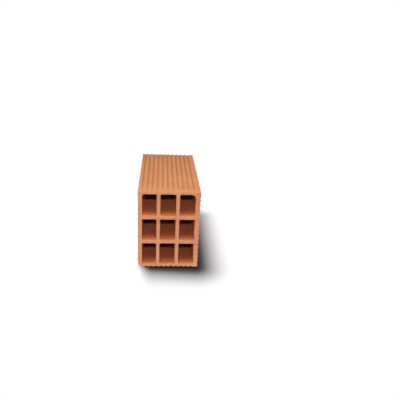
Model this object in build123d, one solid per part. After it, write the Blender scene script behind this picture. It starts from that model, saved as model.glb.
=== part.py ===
from build123d import *
import math
import os

# Hollow clay brick, extruded as one piece and cut to length, all sizes in millimetres.
# X is the width, Y runs along the cells and Z is up, with the origin under the middle of the base.

# Outer size
width = 140.0
length = 290.0
height = 190.0
corner_radius = 3.0
end_bevel = 0.8

# Walls and webs round the three columns and three rows of cells
left_wall = 9.5
right_wall = 11.2
upright_web = 8.1
left_cell_width = 32.4
base_wall = 10.2
top_wall = 7.6
level_web = 9.3
column_count = 3
row_count = 3
cell_radius = 3.0
left_shoulder_radius = 6.0
right_shoulder_radius = 9.5

# Ribs that run the whole length of the four outer faces, and the flat bands beside the corners
rib_pitch = 11.6
rib_depth = 2.2
groove_radius = 1.4
shoulder_reach = 4.0
side_flat = 0.8
top_flat = 9.0

# Room left round the brick by the block that bevels its ends
envelope_margin = 1.0

# Sizes that follow from the ones above
cells_total = width - left_wall - right_wall - (column_count - 1) * upright_web
wide_cell_width = (cells_total - left_cell_width) / (column_count - 1)
cell_height = (height - base_wall - top_wall - (row_count - 1) * level_web) / row_count
rib_reach = rib_pitch / 2


def groove_places(side_length, first_flat):
    """Distances along a side to its groove centres, as many as the side has room for"""
    first_place = corner_radius + first_flat + shoulder_reach
    last_possible = side_length - corner_radius - side_flat - shoulder_reach
    count = int((last_possible - first_place) / rib_pitch) + 1
    return [first_place + index * rib_pitch for index in range(count)]


def flank_point(place, reach, direction):
    """Where a groove's hollow arc runs over into the rounded clay before (-1) or after (1) it"""
    slope = 2 * math.atan(rib_depth / reach)
    return (
        place + direction * groove_radius * math.sin(slope),
        rib_depth - groove_radius * (1 - math.cos(slope)),
    )


def ribbed_side(side_length, places):
    """One side of the section, drawn along X from corner to corner with the clay above it"""
    first_shoulder = (places[0] - shoulder_reach, 0)
    last_shoulder = (places[-1] + shoulder_reach, 0)
    edges = [
        Line((corner_radius, 0), first_shoulder),
        TangentArc(first_shoulder, flank_point(places[0], shoulder_reach, -1), tangent=(1, 0)),
    ]
    for index, place in enumerate(places):
        is_last = index == len(places) - 1
        hollow_start = flank_point(place, shoulder_reach if index == 0 else rib_reach, -1)
        hollow_end = flank_point(place, shoulder_reach if is_last else rib_reach, 1)
        edges.append(ThreePointArc(hollow_start, (place, rib_depth), hollow_end))
        if not is_last:
            crest = (place + rib_reach, 0)
            edges.append(ThreePointArc(hollow_end, crest, flank_point(place + rib_pitch, rib_reach, -1)))
    edges += [
        TangentArc(last_shoulder, hollow_end, tangent=(-1, 0)),
        Line(last_shoulder, (side_length - corner_radius, 0)),
    ]
    return edges


def corner_arc(side_length):
    """The rounding that joins the end of a side to the start of the next one"""
    return TangentArc((side_length - corner_radius, 0), (side_length, corner_radius), tangent=(1, 0))


def outline():
    """The ribbed section without its cells, walked anticlockwise from the left end of the base"""
    base_grooves = groove_places(width, side_flat)
    left_grooves = groove_places(height, top_flat)
    top_grooves = [width - place for place in reversed(base_grooves)]
    right_grooves = [height - place for place in reversed(left_grooves)]
    sides = [
        (Location((-width / 2, 0, 0), (0, 0, 0)), width, base_grooves),
        (Location((width / 2, 0, 0), (0, 0, 90)), height, right_grooves),
        (Location((width / 2, height, 0), (0, 0, 180)), width, top_grooves),
        (Location((-width / 2, height, 0), (0, 0, 270)), height, left_grooves),
    ]
    edges = []
    for start, side_length, places in sides:
        for edge in ribbed_side(side_length, places) + [corner_arc(side_length)]:
            edges.append(start * edge)
    return make_face(edges)


def cell(left, bottom, cell_width, upper_left_radius, upper_right_radius):
    """One cell of the section, with rounded corners"""
    corners = [
        (left, bottom),
        (left + cell_width, bottom),
        (left + cell_width, bottom + cell_height),
        (left, bottom + cell_height),
    ]
    radii = [cell_radius, cell_radius, upper_right_radius, upper_left_radius]
    return make_face(FilletPolyline(corners, radius=radii, close=True).edges())


def cells():
    """All the cells, column by column, with the top row's two outer corners rounder than the rest"""
    shapes = []
    left = left_wall - width / 2
    for column in range(column_count):
        cell_width = left_cell_width if column == 0 else wide_cell_width
        for row in range(row_count):
            bottom = base_wall + row * (cell_height + level_web)
            is_top = row == row_count - 1
            upper_left = left_shoulder_radius if is_top and column == 0 else cell_radius
            upper_right = right_shoulder_radius if is_top and column == column_count - 1 else cell_radius
            shapes.append(cell(left, bottom, cell_width, upper_left, upper_right))
        left += cell_width + upright_web
    return shapes


def bevelled_envelope():
    """A block round the brick whose end bevels cut the ribs' ends and the corners back"""
    frame = Pos(0, height / 2) * RectangleRounded(
        width + 2 * envelope_margin, height + 2 * envelope_margin, corner_radius + envelope_margin
    )
    block = extrude(Plane.XZ * frame, amount=length / 2 + envelope_margin, both=True)
    return chamfer(block.faces().filter_by(Axis.Y).edges(), length=end_bevel + 2 * envelope_margin)


def brick():
    """The section drawn out along Y, with a small bevel at each cell's mouths and round both ends"""
    section = outline() - cells()
    body = extrude(Plane.XZ * section, amount=length / 2, both=True)
    mouths = []
    for end in body.faces().filter_by(Axis.Y):
        for opening in end.inner_wires():
            mouths += opening.edges()
    return chamfer(mouths, length=end_bevel) & bevelled_envelope()


os.makedirs("parts", exist_ok=True)
export_step(brick(), "parts/hollow_brick.step")
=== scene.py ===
"""Looks of the hollow clay brick: its ribbed, slightly worn body, its fired clay, and the studio round it"""
import math
import bpy
import numpy as np
from mathutils import Matrix, Vector, geometry, noise


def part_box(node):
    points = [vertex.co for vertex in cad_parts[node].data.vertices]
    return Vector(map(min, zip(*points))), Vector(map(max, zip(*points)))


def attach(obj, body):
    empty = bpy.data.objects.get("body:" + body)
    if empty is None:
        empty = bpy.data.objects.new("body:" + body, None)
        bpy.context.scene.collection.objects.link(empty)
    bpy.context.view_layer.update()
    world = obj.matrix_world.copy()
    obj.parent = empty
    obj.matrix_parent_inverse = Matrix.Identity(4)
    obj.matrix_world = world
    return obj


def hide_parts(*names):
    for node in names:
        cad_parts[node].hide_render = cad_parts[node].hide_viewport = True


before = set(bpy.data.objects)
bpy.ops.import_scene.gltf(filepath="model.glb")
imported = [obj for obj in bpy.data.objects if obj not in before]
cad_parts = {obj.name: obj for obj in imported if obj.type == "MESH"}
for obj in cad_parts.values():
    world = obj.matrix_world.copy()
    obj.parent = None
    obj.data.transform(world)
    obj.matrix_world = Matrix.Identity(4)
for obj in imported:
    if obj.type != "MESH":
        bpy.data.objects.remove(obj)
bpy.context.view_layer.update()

# Lengths are in metres, and MM turns a size in millimetres into one
MM = 0.001

# Overall size, from the frame
NODE = "hollow_brick"
lowest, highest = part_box(NODE)
width, length, height = highest - lowest
front = lowest.y

# The two cut ends
FRONT_END = 1
BACK_END = -1

# Section of the brick
corner_radius = 3.0 * MM
left_wall = 9.5 * MM
right_wall = 11.2 * MM
upright_web = 8.1 * MM
left_cell_width = 32.4 * MM
base_wall = 10.2 * MM
top_wall = 7.6 * MM
level_web = 9.3 * MM
column_count = 3
row_count = 3
cell_radius = 3.0 * MM
left_shoulder_radius = 6.0 * MM
right_shoulder_radius = 9.5 * MM
rib_pitch = 11.6 * MM
rib_depth = 2.2 * MM
groove_radius = 1.4 * MM
shoulder_reach = 4.0 * MM
side_flat = 0.8 * MM
top_flat = 9.0 * MM
rib_reach = rib_pitch / 2
cells_total = width - left_wall - right_wall - (column_count - 1) * upright_web
wide_cell_width = (cells_total - left_cell_width) / (column_count - 1)
cell_height = (height - base_wall - top_wall - (row_count - 1) * level_web) / row_count

# How finely the surfaces are divided
rib_fractions = (1.0, 0.8, 0.6, 0.42, 0.28, 0.16, 0.08)
flat_step = 2.5 * MM
cell_step = 3.6 * MM
corner_steps = 5
arris_steps = 4
outer_end_places = tuple(place * MM for place in (2.4, 3.4, 4.8, 6.6, 9.0, 12.0, 16.0, 21.0, 27.0, 34.0))
outer_step = 6.6 * MM
cell_end_places = tuple(place * MM for place in (2.4, 4.5, 8.0, 13.0, 19.0, 26.0, 34.0))
cell_end_step = 9.0 * MM

# The triangles of the cut ends: their size, and their scatter and distance from the edges as shares of it
cap_step = 1.65 * MM
cap_scatter = 0.18
cap_clearance = 0.55
point_tolerance = 0.001 * MM

# Wear of the edges and unevenness of the faces
arris_radius = 1.0 * MM
arris_variation = 0.55 * MM
smallest_arris = 0.45 * MM
largest_arris = 2.1 * MM
face_bow = 0.35 * MM
crest_wear = 0.22 * MM
wall_wave = 0.30 * MM
cut_relief = 0.22 * MM

# The front end's worn lower left corner
worn_corner_radius = 13.0 * MM
worn_corner_length = 40.0 * MM
worn_corner_softness = 2.0 * MM

# Share of the grooves that smeared clay fills at the ends and at the top's front edge, and its reach
rib_fade = 0.06
top_rib_fade = 0.8
rib_fade_length = 16.0 * MM

# How long the swells of the unevenness are
arris_swell = 11 * MM
arris_ripple = 3 * MM
cut_swell = 38 * MM
cut_ripple = 5 * MM
smear_swell = 14 * MM
face_swell = 70 * MM
crest_swell = 4 * MM
wall_swell = 16 * MM

# Where in the noise each of them starts, so that no two are alike
smear_seed = 3
face_seed = 6
crest_seed = 9
front_arris_seed = 10
back_arris_seed = 20
cut_swell_seed = 40
cut_ripple_seed = 50
first_cell_seed = 60
cell_seed_step = 4
cell_back_seed_step = 30
ripple_seed_step = 5

# Where the random scatter of each cut end starts
front_cap_seed = 11
back_cap_seed = 12

# How deep the paler edges reach, which are partly worn and partly a painted highlight, how deep the cells'
# painted shade deepens from their lighter mouths, and the share of that with the mouths' own tint
arris_reach = 1.2 * MM
mouth_reach = 24.0 * MM
mouth_share = 0.12

# How high the faint dust on the cut ends reaches
dust_top = 120.0 * MM

# Sizes of the clay's tones, grain and marks
tone_swell = 55 * MM
mottle_size = 9 * MM
grain_size = 0.9 * MM
streak_width = 1.6 * MM
wire_mark_width = 1.8 * MM
tear_width = 1.1 * MM
pore_spacing = 3.2 * MM
speck_spacing = 5.1 * MM
arris_break_size = 6 * MM

# Scales of the marks on X, Y and Z, where less than 1 draws them out
streak_stretch = (1.0, 0.03, 1.0)
wire_stretch = (0.06, 1.0, 1.0)
tear_stretch = (0.35, 1.0, 1.0)

# How rare pores and specks are, and how large beside their spacing
pore_rarity = 0.55
pore_share = 0.16
speck_rarity = 0.82
speck_share = 0.14

# How strongly each shows in the colour, from 0 to 1, where the grooves' and the drift's are painted shade
# and the edges' partly a painted highlight
mottle_strength = 0.55
grain_strength = 0.6
streak_strength = 0.4
groove_shade_strength = 0.5
drift_shade_strength = 0.5
dust_strength = 0.35
arris_wear_and_highlight_strength = 0.25
pore_strength = 0.65
speck_strength = 0.45
tear_strength = 0.5

# How much each stands out of the surface or sinks into it, in millimetres before the overall strength
grain_relief = 0.3
cut_grain_relief = 0.6
streak_relief = 0.5
wire_relief = 1.2
pore_relief = 0.35
tear_relief = 0.25
relief_strength = 0.8

# How far the floor's painted soft shade reaches past each side of the brick, and how far inside two sides it
# starts
shade_left = 4 * MM
shade_inside_left = 36 * MM
shade_right = 84 * MM
shade_inside_right = 6 * MM
shade_front = 98 * MM
shade_back = 70 * MM

# How steeply that shade fades, more so to the right, and where that starts and ends across the brick
shade_power = 0.86
shade_right_power = 0.38
shade_left_power = 2.3
shade_turn_start = -0.36 * width
shade_turn_end = 0.4 * width

# How far the floor reaches to each side of the middle
floor_reach = 6.0

# How brightly the sky lights the brick, and where the near lamp is from the camera
sky_light = 0.08
near_lamp_offset = Vector((0.006, 0.0, 0.115))

# Camera, fitted to the photograph's corners of the brick, with its sensor's width in millimetres
camera_place = Vector((-0.0235, -1.0314, 0.5324))
camera_yaw = math.radians(5.856)
camera_pitch = math.radians(22.064)
camera_roll = math.radians(-3.185)
focal_pixels = 433.08
image_pixels = 400
sensor_width = 36.0


def groove_places(side_length, first_flat):
    """Distances along a side to its groove centres, as many as the side has room for"""
    first_place = corner_radius + first_flat + shoulder_reach
    last_possible = side_length - corner_radius - side_flat - shoulder_reach
    count = int((last_possible - first_place) / rib_pitch) + 1
    return [first_place + index * rib_pitch for index in range(count)]


def groove_depth(distance, reach):
    """Depth below the crests at a distance from a groove's centre: a hollow arc, then a rounded one"""
    slope = 2 * math.atan(rib_depth / reach)
    hollow_width = groove_radius * math.sin(slope)
    if distance <= hollow_width:
        return rib_depth - groove_radius + math.sqrt(groove_radius**2 - distance**2)
    crest_radius = reach / math.sin(slope) - groove_radius
    return crest_radius - math.sqrt(crest_radius**2 - (reach - distance) ** 2)


def even_steps(start, end, step):
    """Places from start up to but without end, evenly spread and at most a step apart"""
    count = max(1, math.ceil((end - start) / step))
    return [start + (end - start) * index / count for index in range(count)]


def side_profile(side_length, places):
    """Pairs of distance along a side and depth below its face, from one corner's end to the next's start"""
    first_shoulder = places[0] - shoulder_reach
    last_shoulder = places[-1] + shoulder_reach
    pairs = [(along, 0.0) for along in even_steps(corner_radius, first_shoulder, flat_step)]
    for index, place in enumerate(places):
        before = shoulder_reach if index == 0 else rib_reach
        after = shoulder_reach if index == len(places) - 1 else rib_reach
        for fraction in rib_fractions:
            pairs.append((place - before * fraction, groove_depth(before * fraction, before)))
        pairs.append((place, rib_depth))
        for fraction in reversed(rib_fractions[1:]):
            pairs.append((place + after * fraction, groove_depth(after * fraction, after)))
    corner_start = side_length - corner_radius
    pairs += [(along, 0.0) for along in even_steps(last_shoulder, corner_start, flat_step)]
    return pairs


def outline_loop():
    """The outer section, anticlockwise seen from the front, as points, inward directions and rib depths"""
    base_grooves = groove_places(width, side_flat)
    left_grooves = groove_places(height, top_flat)
    top_grooves = [width - place for place in reversed(base_grooves)]
    right_grooves = [height - place for place in reversed(left_grooves)]
    half = width / 2
    sides = [
        (Vector((-half, 0)), Vector((1, 0)), width, base_grooves),
        (Vector((half, 0)), Vector((0, 1)), height, right_grooves),
        (Vector((half, height)), Vector((-1, 0)), width, top_grooves),
        (Vector((-half, height)), Vector((0, -1)), height, left_grooves),
    ]
    flat_points = []
    inward = []
    depths = []
    for start, along, side_length, places in sides:
        into = Vector((-along.y, along.x))
        for distance, depth in side_profile(side_length, places):
            flat_points.append(start + along * distance)
            inward.append(into)
            depths.append(depth)
        centre = start + along * (side_length - corner_radius) + into * corner_radius
        for step in range(corner_steps + 1):
            angle = math.pi / 2 * step / (corner_steps + 1)
            outward = along * math.sin(angle) - into * math.cos(angle)
            flat_points.append(centre + outward * corner_radius)
            inward.append(-outward)
            depths.append(0.0)
    return np.array(flat_points), np.array(inward), np.array(depths)


def cell_loop(left, bottom, cell_width, upper_left_radius, upper_right_radius):
    """One cell's section, anticlockwise seen from the front"""
    right = left + cell_width
    top = bottom + cell_height
    corners = [
        (left + cell_radius, bottom + cell_radius, cell_radius, 180),
        (right - cell_radius, bottom + cell_radius, cell_radius, 270),
        (right - upper_right_radius, top - upper_right_radius, upper_right_radius, 0),
        (left + upper_left_radius, top - upper_left_radius, upper_left_radius, 90),
    ]
    points = []
    for index, (x, z, radius, start_angle) in enumerate(corners):
        for step in range(corner_steps + 1):
            angle = math.radians(start_angle + 90 * step / corner_steps)
            points.append(Vector((x + radius * math.cos(angle), z + radius * math.sin(angle))))
        next_x, next_z, next_radius, next_start = corners[(index + 1) % len(corners)]
        turn = math.radians(next_start)
        target = Vector((next_x + next_radius * math.cos(turn), next_z + next_radius * math.sin(turn)))
        start = points[-1]
        for share in even_steps(0.0, 1.0, cell_step / (target - start).length)[1:]:
            points.append(start.lerp(target, share))
    return np.array(points)


def cell_loops():
    """The sections of all the cells, column by column"""
    loops = []
    left = left_wall - width / 2
    for column in range(column_count):
        cell_width = left_cell_width if column == 0 else wide_cell_width
        for row in range(row_count):
            bottom = base_wall + row * (cell_height + level_web)
            is_top = row == row_count - 1
            upper_left = left_shoulder_radius if is_top and column == 0 else cell_radius
            upper_right = right_shoulder_radius if is_top and column == column_count - 1 else cell_radius
            loops.append(cell_loop(left, bottom, cell_width, upper_left, upper_right))
        left += cell_width + upright_web
    return loops


def loop_normals(points):
    """Directions that point out of an anticlockwise loop, at right angles to it"""
    ahead = np.roll(points, -1, axis=0) - np.roll(points, 1, axis=0)
    across = np.stack([ahead[:, 1], -ahead[:, 0]], axis=1)
    return across / np.linalg.norm(across, axis=1, keepdims=True)


def smooth_noise(points, size, seed):
    """Smooth values from about -1 to 1 at the points, with swells of the given size"""
    shift = Vector((seed, 2 * seed, 3 * seed))
    return np.array([noise.noise(Vector(point) / size + shift) for point in points])


def raised_noise(points, size, seed):
    """Smooth values from 0 to 1 at the points"""
    return np.clip(0.5 + 0.5 * smooth_noise(points, size, seed), 0.0, 1.0)


def with_depth(points, y):
    """Section points placed at one distance along the brick"""
    return np.column_stack([points[:, 0], np.broadcast_to(y, len(points)), points[:, 1]])


def ring_places(end_places, middle_step):
    """Rings from front to back, as (distance from their end or None on the arris, share of it, end)"""
    arris = [(None, step / arris_steps) for step in range(arris_steps + 1)]
    near = [(place, 1.0) for place in end_places]
    middle = even_steps(end_places[-1], length - end_places[-1], middle_step)[1:]
    front_rings = [(place, share, FRONT_END) for place, share in arris + near]
    back_rings = [(place, share, BACK_END) for place, share in reversed(arris + near)]
    return front_rings + [(place, 1.0, FRONT_END) for place in middle] + back_rings


def arris_radii(points, seed):
    """Radius of the worn edge round a loop's end, uneven from place to place"""
    swell = smooth_noise(with_depth(points, 0.0), arris_swell, seed)
    ripple = smooth_noise(with_depth(points, 0.0), arris_ripple, seed + ripple_seed_step)
    return np.clip(arris_radius + arris_variation * (swell + 0.5 * ripple), smallest_arris, largest_arris)


def cut_offset(points, end):
    """How far the cut end lies inside its plane, a little uneven and never outside"""
    wide = raised_noise(with_depth(points, 0.0), cut_swell, cut_swell_seed + end)
    fine = raised_noise(with_depth(points, 0.0) * (0.35, 1, 1), cut_ripple, cut_ripple_seed + end)
    return cut_relief * (0.7 * wide + 0.3 * fine)


def from_end(end, into):
    """Y of a place at a distance into the brick from one of its ends"""
    return front + into if end == FRONT_END else front + length - into


def ring_depths(points, place, share, end, radii):
    """Y of a ring's points, which follow the arris near an end"""
    if place is not None:
        return np.full(len(points), from_end(end, place))
    into = radii * (1 - math.cos(math.pi / 2 * share)) + cut_offset(points, end) * (1 - share)
    return from_end(end, into)


def arris_inset(share, radii):
    """How far the worn edge draws a ring's points into the clay"""
    return radii * (1 - math.sin(math.pi / 2 * share))


def end_distance(y):
    """Distance from the nearer cut end"""
    return np.minimum(y - front, front + length - y)


def arris_mark(distance):
    """1 at an edge, fading to 0 away from it"""
    return np.exp(-np.maximum(distance - arris_radius, 0.0) / arris_reach)


def round_worn_corner(points, y):
    """Rounds the lower left corner off, most at the front end, with soft edges where it meets a groove"""
    wear = np.exp((front - y) / worn_corner_length)
    radius = corner_radius + (worn_corner_radius - corner_radius) * wear
    centre = np.column_stack([radius - width / 2, radius])
    away = points - centre
    distance = np.linalg.norm(away, axis=1)
    past = distance - radius
    softness = 2 * worn_corner_softness * wear * away[:, 0] * away[:, 1] / distance**2
    kept = radius + (past - np.sqrt(past**2 + softness**2)) / 2
    in_corner = (away[:, 0] < 0) & (away[:, 1] < 0)
    return np.where(in_corner[:, None], centre + away * (kept / distance)[:, None], points)


def outer_rings():
    """The ribbed faces' rings from front to back, each as its points and their marks"""
    flat_points, inward, depths = outline_loop()
    nominal = flat_points + inward * depths[:, None]
    outward = loop_normals(nominal)
    radii = {
        FRONT_END: arris_radii(nominal, front_arris_seed),
        BACK_END: arris_radii(nominal, back_arris_seed),
    }
    crest = 1 - depths / rib_depth
    on_top = np.clip(-inward[:, 1], 0.0, 1.0)
    rings = []
    for place, share, end in ring_places(outer_end_places, outer_step):
        y = ring_depths(nominal, place, share, end, radii[end])
        spots = np.column_stack([nominal[:, 0], y, nominal[:, 1]])
        smear = rib_fade + (top_rib_fade - rib_fade) * on_top * (end == FRONT_END)
        smear = smear * np.exp(-end_distance(y) / rib_fade_length)
        smear = np.minimum(smear * (0.5 + raised_noise(spots, smear_swell, smear_seed)), 1.0)
        filled = flat_points + inward * (depths * (1 - smear))[:, None]
        inset = arris_inset(share, radii[end])
        inset = inset + face_bow * raised_noise(spots * (1, 0.5, 1), face_swell, face_seed)
        inset = inset + crest_wear * crest * raised_noise(spots * (1, 0.25, 1), crest_swell, crest_seed)
        worn = round_worn_corner(filled - outward * inset[:, None], y)
        marks = {"crest": crest + (1 - crest) * smear, "arris": arris_mark(end_distance(y))}
        rings.append((np.column_stack([worn[:, 0], y, worn[:, 1]]), marks))
    return rings


def cell_rings(points, seed):
    """One cell's rings from front to back, waving a little, each as its points and their marks"""
    outward = loop_normals(points)
    radii = {
        FRONT_END: arris_radii(points, seed),
        BACK_END: arris_radii(points, seed + cell_back_seed_step),
    }
    rings = []
    for place, share, end in ring_places(cell_end_places, cell_end_step):
        y = ring_depths(points, place, share, end, radii[end])
        spots = np.column_stack([points[:, 0], y, points[:, 1]])
        wave = wall_wave * smooth_noise(spots * (1, 0.3, 1), wall_swell, seed)
        moved = points + outward * (arris_inset(share, radii[end]) + wave)[:, None]
        distance = end_distance(y)
        inside = np.clip(distance / mouth_reach, 0.0, 1.0)
        marks = {"crest": 1.0, "inside": inside, "arris": arris_mark(distance)}
        rings.append((np.column_stack([moved[:, 0], y, moved[:, 1]]), marks))
    return rings


class MeshParts:
    """Vertices, faces and surface marks gathered for one mesh"""

    def __init__(self):
        self.points = []
        self.faces = []
        self.marks = {"crest": [], "inside": [], "cut_end": [], "arris": []}

    def add_points(self, points, marks):
        """Adds points with their marks, and gives the first one's number"""
        first = len(self.points)
        self.points.extend(map(tuple, points))
        for name, values in self.marks.items():
            values.extend(np.broadcast_to(marks.get(name, 0.0), len(points)).tolist())
        return first

    def add_tube(self, rings, faces_out):
        """Joins rings into a tube whose faces look outwards or inwards, and gives each ring's numbers"""
        starts = [self.add_points(points, marks) for points, marks in rings]
        count = len(rings[0][0])
        for near, far in zip(starts, starts[1:]):
            for index in range(count):
                after = (index + 1) % count
                face = (near + index, near + after, far + after, far + index)
                self.faces.append(face[::-1] if faces_out else face)
        return [np.arange(start, start + count) for start in starts]


def inside_loop(points, loop):
    """Whether each point lies inside a closed loop"""
    ahead = np.roll(loop, -1, axis=0)
    x = points[:, 0][:, None]
    z = points[:, 1][:, None]
    crosses = (loop[:, 1] > z) != (ahead[:, 1] > z)
    # A level edge is never crossed, so its rise may be anything but 0
    is_level = ahead[:, 1] == loop[:, 1]
    rise = np.where(is_level, MM, ahead[:, 1] - loop[:, 1])
    meets = loop[:, 0] + (z - loop[:, 1]) * (ahead[:, 0] - loop[:, 0]) / rise
    return (crosses & (x < meets)).sum(axis=1) % 2 == 1


def in_clay(points, loops):
    """Whether each point lies inside the first loop and outside all the others"""
    kept = inside_loop(points, loops[0])
    for loop in loops[1:]:
        kept &= ~inside_loop(points, loop)
    return kept


def spread_points(loops, seed):
    """Slightly scattered points over the cut clay, clear of its edges, and their distance from an edge"""
    random = np.random.default_rng(seed)
    columns = np.arange(-width / 2, width / 2, cap_step)
    rows = np.arange(0, height, cap_step * math.sqrt(3) / 2)
    grid = np.array([(x + (index % 2) * cap_step / 2, z) for index, z in enumerate(rows) for x in columns])
    grid = grid + random.uniform(-cap_scatter, cap_scatter, grid.shape) * cap_step
    grid = grid[in_clay(grid, loops)]
    edge = np.concatenate(loops)
    distance = np.array([np.sqrt(np.min(np.sum((edge - point) ** 2, axis=1))) for point in grid])
    is_clear = distance > cap_clearance * cap_step
    return grid[is_clear], distance[is_clear]


def add_cap(parts, edge_rings, end, seed):
    """Closes one cut end with triangles between the outline's ring and the cells' rings"""
    loops = [np.array([parts.points[number] for number in ring])[:, [0, 2]] for ring in edge_rings]
    inner, distance = spread_points(loops, seed)
    marks = {"crest": 1.0, "cut_end": 1.0, "arris": np.exp(-distance / arris_reach)}
    first = parts.add_points(with_depth(inner, from_end(end, cut_offset(inner, end))), marks)
    numbers = np.concatenate([*edge_rings, np.arange(first, first + len(inner))])
    flat = np.concatenate([*loops, inner])
    edges = []
    start = 0
    for loop in loops:
        edges += [(start + index, start + (index + 1) % len(loop)) for index in range(len(loop))]
        start += len(loop)
    flat_vectors = [Vector(point) for point in flat]
    made = geometry.delaunay_2d_cdt(flat_vectors, edges, [], 0, point_tolerance)
    placed, _, triangles, sources, _, _ = made
    placed = np.array(placed)
    triangles = np.array(triangles)
    origin = [numbers[source[0]] for source in sources]
    for one, two, three in triangles[in_clay(placed[triangles].mean(axis=1), loops)]:
        corners = placed[[one, two, three]]
        turn = np.cross(corners[1] - corners[0], corners[2] - corners[0])
        face = (origin[one], origin[two], origin[three])
        parts.faces.append(face if (turn > 0) == (end == FRONT_END) else face[::-1])


def make_brick():
    """The whole brick as one closed mesh"""
    parts = MeshParts()
    tubes = [parts.add_tube(outer_rings(), True)]
    for index, loop in enumerate(cell_loops()):
        tubes.append(parts.add_tube(cell_rings(loop, first_cell_seed + cell_seed_step * index), False))
    add_cap(parts, [tube[0] for tube in tubes], FRONT_END, front_cap_seed)
    add_cap(parts, [tube[-1] for tube in tubes], BACK_END, back_cap_seed)
    mesh = bpy.data.meshes.new("fired_brick")
    mesh.from_pydata(parts.points, [], parts.faces)
    for name, values in parts.marks.items():
        mesh.attributes.new(name, "FLOAT", "POINT").data.foreach_set("value", values)
    mesh.shade_smooth()
    mesh.validate()
    piece = bpy.data.objects.new("fired_brick", mesh)
    bpy.context.scene.collection.objects.link(piece)
    return piece


def srgb(red, green, blue):
    """A colour given as 0 to 255 on screen, as the linear values that nodes take"""
    shares = [value / 255 for value in (red, green, blue)]
    linear = [share / 12.92 if share <= 0.04045 else ((share + 0.055) / 1.055) ** 2.4 for share in shares]
    return (*linear, 1.0)


# The clay's colours, the tints that multiply them, among them painted shade and a partly painted highlight,
# and the floor's grey
white = srgb(255, 255, 255)
deep_clay = srgb(227, 154, 115)
middle_clay = srgb(233, 163, 123)
pale_clay = srgb(237, 169, 129)
mottle_tint = srgb(232, 214, 205)
grain_tint = srgb(212, 190, 178)
streak_tint = srgb(226, 210, 200)
outer_tint = srgb(229, 232, 210)
# Painted shade in the grooves
groove_shade_tint = srgb(196, 160, 142)
# Painted shade in the cells, from their mouths to deeper in
mouth_shade_tint = srgb(234, 210, 148)
inner_shade_tint = srgb(198, 158, 133)
# Painted shade that darkens the cut ends upwards and to the right
drift_shade_tint = srgb(232, 229, 223)
tear_tint = srgb(196, 172, 160)
dust_colour = srgb(228, 174, 142)
# Paler edges, partly wear and partly a painted highlight
arris_wear_and_highlight_colour = srgb(232, 180, 140)
pore_colour = srgb(120, 66, 44)
speck_colour = srgb(226, 180, 146)
floor_grey = srgb(236, 236, 238)


class Nodes:
    """The nodes of a material or a world, with short calls to add and join them"""

    def __init__(self, owner):
        self.owner = owner
        self.owner.use_nodes = True
        self.tree = self.owner.node_tree
        self.tree.nodes.clear()

    def add(self, kind, inputs=None, **settings):
        """Adds a node, and sets or links its inputs by name or number"""
        node = self.tree.nodes.new("ShaderNode" + kind)
        for name, value in settings.items():
            setattr(node, name, value)
        for name, value in (inputs or {}).items():
            self.join(value, node.inputs[name])
        return node

    def join(self, value, socket):
        """Links an output to a socket, or sets the socket to a plain value"""
        if isinstance(value, bpy.types.NodeSocket):
            self.tree.links.new(value, socket)
        else:
            socket.default_value = value

    def math(self, operation, first, second):
        """The output of one sum"""
        return self.add("Math", {0: first, 1: second}, operation=operation).outputs[0]

    def times(self, first, second):
        """The product of two values"""
        return self.math("MULTIPLY", first, second)

    def mix(self, blend, share, first, second):
        """The output of one mix of two colours"""
        node = self.add("Mix", data_type="RGBA", blend_type=blend)
        for socket, value in zip((node.inputs[0], node.inputs[6], node.inputs[7]), (share, first, second)):
            self.join(value, socket)
        return node.outputs[2]

    def ramp(self, value, *stops):
        """The colour at a value between stops of (place, colour)"""
        node = self.add("ValToRGB", {0: value})
        elements = node.color_ramp.elements
        while len(elements) < len(stops):
            elements.new(0.5)
        for element, (place, colour) in zip(elements, stops):
            element.position = place
            element.color = colour
        return node.outputs[0]

    def fade(self, value, start, end):
        """A value turned into 0 at start and 1 at end"""
        return self.add("MapRange", {0: value, 1: start, 2: end}, clamp=True).outputs[0]

    def noise(self, place, size, detail=2.0, roughness=0.5):
        """Noise whose swells are about the given size"""
        inputs = {"Vector": place, "Scale": 1 / size, "Detail": detail, "Roughness": roughness}
        return self.add("TexNoise", inputs).outputs[0]

    def stretched(self, place, scale):
        """Coordinates scaled apart on each axis"""
        return self.add("Mapping", {"Vector": place, "Scale": scale}).outputs[0]

    def spots(self, place, spacing, rarity, size, channel):
        """1 in scattered round spots of uneven size, whose rarity and size are shares from 0 to 1"""
        scatter = self.add("TexVoronoi", {"Vector": place, "Scale": 1 / spacing})
        pick = self.add("SeparateColor", {0: scatter.outputs["Color"]}).outputs[channel]
        radius = self.times(self.fade(pick, rarity, 1.0), size)
        return self.math("LESS_THAN", scatter.outputs["Distance"], radius)

    def mark(self, name):
        """A surface mark that the mesh carries"""
        return self.add("Attribute", attribute_name=name).outputs["Fac"]

    def shown(self):
        """1 for the rays that see the background: the camera's, and those reflected or passed through"""
        rays = self.add("LightPath").outputs
        seen = self.math("MAXIMUM", rays["Is Camera Ray"], rays["Is Glossy Ray"])
        return self.math("MAXIMUM", seen, rays["Is Transmission Ray"])


def clay_ground(nodes, place, grain):
    """The fired clay's own orange, which drifts slowly and is mottled and finely grained"""
    tone = nodes.noise(place, tone_swell, 3.0, 0.55)
    colour = nodes.ramp(tone, (0.30, deep_clay), (0.50, middle_clay), (0.72, pale_clay))
    mottle = nodes.noise(place, mottle_size, 7.0, 0.68)
    mottle_colour = nodes.ramp(mottle, (0.3, mottle_tint), (0.7, white))
    colour = nodes.mix("MULTIPLY", mottle_strength, colour, mottle_colour)
    grain_colour = nodes.ramp(grain, (0.36, grain_tint), (0.6, white))
    return nodes.mix("MULTIPLY", grain_strength, colour, grain_colour)


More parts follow.
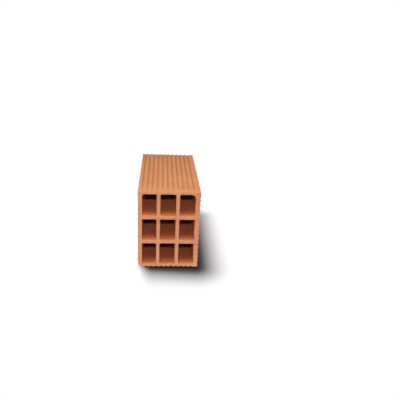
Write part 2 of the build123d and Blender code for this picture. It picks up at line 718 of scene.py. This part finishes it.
def tint_drawn_faces(nodes, colour, drawn_face, streak, streak_share):
    """Streaks along the drawn faces, painted shade in the grooves, and painted shade that turns the cells
    redder and darker inwards
    """
    crest = nodes.mark("crest")
    inside = nodes.mark("inside")
    streak_colour = nodes.ramp(streak, (0.3, streak_tint), (0.7, white))
    colour = nodes.mix("MULTIPLY", streak_share, colour, streak_colour)
    outer_face = nodes.times(drawn_face, nodes.fade(inside, mouth_share, 0.0))
    colour = nodes.mix("MULTIPLY", outer_face, colour, outer_tint)
    # Painted shade in the grooves, deepest where the crest mark is lowest
    groove = nodes.times(nodes.math("SUBTRACT", 1.0, nodes.fade(crest, 0.0, 0.6)), groove_shade_strength)
    colour = nodes.mix("MULTIPLY", groove, colour, groove_shade_tint)
    # Painted shade in the cells, redder and darker further from the mouths
    painted_cell_shade = nodes.ramp(inside, (0.0, white), (mouth_share, mouth_shade_tint), (1.0, inner_shade_tint))
    return nodes.mix("MULTIPLY", 1.0, colour, painted_cell_shade)


def tint_cut_ends(nodes, place, colour, cut_end):
    """Cut ends with painted shade that darkens them a little upwards and to the right, faint dust low down,
    and paler edges that are partly wear and partly a painted highlight
    """
    across, _, level = nodes.add("SeparateXYZ", {0: place}).outputs
    # Painted shade: the cut ends darken towards the right and upwards
    shade_drift = nodes.math("ADD", nodes.fade(across, -width / 2, width / 2), nodes.fade(level, 0.0, height))
    drift_shade_share = nodes.times(nodes.times(shade_drift, drift_shade_strength), cut_end)
    colour = nodes.mix("MULTIPLY", drift_shade_share, colour, drift_shade_tint)
    dusty = nodes.times(cut_end, nodes.fade(level, dust_top, 0.0))
    colour = nodes.mix("MIX", nodes.times(dusty, dust_strength), colour, dust_colour)
    # Paler edges, partly wear and partly a painted highlight, broken up by noise
    arris_break = nodes.fade(nodes.noise(place, arris_break_size, 3.0), 0.3, 0.6)
    arris_wear_and_highlight_share = nodes.times(nodes.times(nodes.mark("arris"), arris_break), arris_wear_and_highlight_strength)
    return nodes.mix("MIX", arris_wear_and_highlight_share, colour, arris_wear_and_highlight_colour)


def clay_material():
    """Matte fired clay with grain, pores and pale specks, drawn streaks, wire marks and small tears"""
    nodes = Nodes(bpy.data.materials.new("fired_clay"))
    place = nodes.add("TexCoord").outputs["Object"]
    cut_end = nodes.mark("cut_end")
    drawn_face = nodes.math("SUBTRACT", 1.0, cut_end)
    grain = nodes.noise(place, grain_size, 4.0, 0.75)
    streak = nodes.noise(nodes.stretched(place, streak_stretch), streak_width, 4.0, 0.7)
    streak_share = nodes.times(drawn_face, streak_strength)
    wire = nodes.noise(nodes.stretched(place, wire_stretch), wire_mark_width, 4.0, 0.65)
    tear = nodes.noise(nodes.stretched(place, tear_stretch), tear_width, 3.0, 0.6)
    tear = nodes.times(nodes.fade(tear, 0.4, 0.3), cut_end)
    pore = nodes.spots(place, pore_spacing, pore_rarity, pore_share, 0)
    speck = nodes.spots(place, speck_spacing, speck_rarity, speck_share, 1)

    colour = clay_ground(nodes, place, grain)
    colour = tint_drawn_faces(nodes, colour, drawn_face, streak, streak_share)
    colour = tint_cut_ends(nodes, place, colour, cut_end)
    colour = nodes.mix("MIX", nodes.times(pore, pore_strength), colour, pore_colour)
    colour = nodes.mix("MIX", nodes.times(speck, speck_strength), colour, speck_colour)
    colour = nodes.mix("MULTIPLY", nodes.times(tear, tear_strength), colour, tear_tint)

    grain_height = nodes.math("ADD", grain_relief, nodes.times(cut_end, cut_grain_relief))
    raised = nodes.times(grain, grain_height)
    raised = nodes.math("ADD", raised, nodes.times(nodes.times(streak, streak_share), streak_relief))
    raised = nodes.math("ADD", raised, nodes.times(nodes.times(wire, cut_end), wire_relief))
    raised = nodes.math("SUBTRACT", raised, nodes.times(pore, pore_relief))
    raised = nodes.math("SUBTRACT", raised, nodes.times(tear, tear_relief))
    bump = nodes.add("Bump", {"Height": raised, "Distance": MM, "Strength": relief_strength})
    shader = nodes.add(
        "BsdfPrincipled",
        {
            "Base Color": colour,
            "Roughness": 0.9,
            "Specular IOR Level": 0.25,
            "Diffuse Roughness": 0.5,
            "Normal": bump.outputs[0],
        },
    )
    nodes.add("OutputMaterial", {0: shader.outputs[0]})
    return nodes.owner


def floor_material():
    """A pale floor that shows white to the camera away from the brick, with a soft shade painted round the
    brick, and keeps the brick's shadow
    """
    nodes = Nodes(bpy.data.materials.new("pale_floor"))
    shown = nodes.shown()
    place = nodes.add("TexCoord").outputs["Object"]
    across, along, _ = nodes.add("SeparateXYZ", {0: place}).outputs
    left = nodes.fade(across, shade_inside_left - width / 2, -width / 2 - shade_left)
    right = nodes.fade(across, width / 2 - shade_inside_right, width / 2 + shade_right)
    lengthways = nodes.math(
        "MAXIMUM",
        nodes.fade(along, front, front - shade_front),
        nodes.fade(along, front + length, front + length + shade_back),
    )
    outwards = nodes.add("CombineXYZ", {0: right, 1: lengthways})
    far = nodes.add("VectorMath", {0: outwards.outputs[0]}, operation="LENGTH").outputs["Value"]
    steeper = nodes.times(nodes.fade(across, shade_turn_start, shade_turn_end), shade_right_power)
    far = nodes.math("POWER", far, nodes.math("ADD", shade_power, steeper))
    far = nodes.math("ADD", far, nodes.math("POWER", left, shade_left_power))
    # Painted shade: to the camera, the floor darkens towards the brick, deepest at its foot
    tone = nodes.ramp(
        far,
        (0.0, srgb(26, 25, 25)),
        (0.05, srgb(50, 50, 51)),
        (0.13, srgb(80, 80, 82)),
        (0.30, srgb(118, 118, 120)),
        (0.55, srgb(160, 160, 162)),
        (1.0, floor_grey),
    )
    plain = nodes.add("BsdfDiffuse", {"Color": nodes.mix("MIX", shown, floor_grey, tone)})
    glow = nodes.add("Emission", {"Color": white, "Strength": 1.0})
    glow_share = nodes.times(shown, nodes.fade(far, 0.15, 1.0))
    shader = nodes.add("MixShader", {0: glow_share, 1: plain.outputs[0], 2: glow.outputs[0]})
    nodes.add("OutputMaterial", {0: shader.outputs[0]})
    return nodes.owner


def make_floor():
    """A wide level floor under the brick"""
    mesh = bpy.data.meshes.new("floor")
    corners = [(x * floor_reach, y * floor_reach, 0.0) for x, y in ((-1, -1), (1, -1), (1, 1), (-1, 1))]
    mesh.from_pydata(corners, [], [(0, 1, 2, 3)])
    mesh.materials.append(floor_material())
    floor = bpy.data.objects.new("floor", mesh)
    bpy.context.scene.collection.objects.link(floor)


def add_lamp(name, kind, place, target, power, size):
    """A lamp of a kind, power in watts and size, at a place and turned to a target"""
    lamp = bpy.data.lights.new(name, kind)
    lamp.energy = power
    if kind == "AREA":
        lamp.shape = "DISK"
        lamp.size = size
    else:
        lamp.shadow_soft_size = size
    thing = bpy.data.objects.new(name, lamp)
    thing.location = place
    thing.rotation_mode = "QUATERNION"
    thing.rotation_quaternion = (Vector(target) - Vector(place)).to_track_quat("-Z", "Y")
    bpy.context.scene.collection.objects.link(thing)


def make_lights():
    """A small lamp over the camera, and soft ones overhead, low in front and all round"""
    middle = (0.0, 0.0, height / 2)
    add_lamp("near_lamp", "POINT", camera_place + near_lamp_offset, middle, 18.6, 0.016)
    add_lamp("right_lamp", "AREA", (1.0, 0.0, 0.74), middle, 6.9, 0.35)
    add_lamp("top_lamp", "AREA", (-0.05, -0.36, 0.66), (0.0, front, 0.15), 2.2, 0.42)
    add_lamp("low_lamp", "AREA", (0.1, -1.3, 0.12), middle, 1.4, 0.5)
    add_lamp("back_left_lamp", "AREA", (-1.3, 0.85, 0.45), middle, 4.2, 0.9)
    add_lamp("back_right_lamp", "AREA", (1.2, 1.0, 0.45), middle, 1.8, 0.9)
    add_lamp("back_lamp", "AREA", (0.0, 1.6, 0.62), middle, 4.0, 0.8)
    add_lamp("left_lamp", "AREA", (-1.5, 0.15, 0.22), middle, 2.0, 0.8)


def make_sky():
    """A sky that the camera sees as white, and that lights the brick only faintly"""
    nodes = Nodes(bpy.data.worlds.new("studio"))
    strength = nodes.add("MapRange", {"Value": nodes.shown(), "To Min": sky_light}).outputs["Result"]
    background = nodes.add("Background", {"Color": white, "Strength": strength})
    nodes.add("OutputWorld", {0: background.outputs[0]})
    bpy.context.scene.world = nodes.owner


def make_camera():
    """The camera at the photograph's place and angle"""
    forward = Vector(
        (
            math.sin(camera_yaw) * math.cos(camera_pitch),
            math.cos(camera_yaw) * math.cos(camera_pitch),
            -math.sin(camera_pitch),
        )
    )
    level = Vector((math.cos(camera_yaw), -math.sin(camera_yaw), 0.0))
    down = forward.cross(level)
    right = level * math.cos(camera_roll) + down * math.sin(camera_roll)
    upward = level * math.sin(camera_roll) - down * math.cos(camera_roll)
    camera = bpy.data.cameras.new("camera")
    camera.sensor_width = sensor_width
    camera.lens = focal_pixels / image_pixels * sensor_width
    thing = bpy.data.objects.new("camera", camera)
    turn = Matrix((right, upward, -forward)).transposed()
    thing.matrix_world = Matrix.Translation(camera_place) @ turn.to_4x4()
    bpy.context.scene.collection.objects.link(thing)
    bpy.context.scene.camera = thing


brick = make_brick()
brick.data.materials.append(clay_material())
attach(brick, "root")
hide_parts(NODE)
make_floor()
make_lights()
make_sky()
make_camera()
bpy.context.scene.view_settings.view_transform = "Standard"
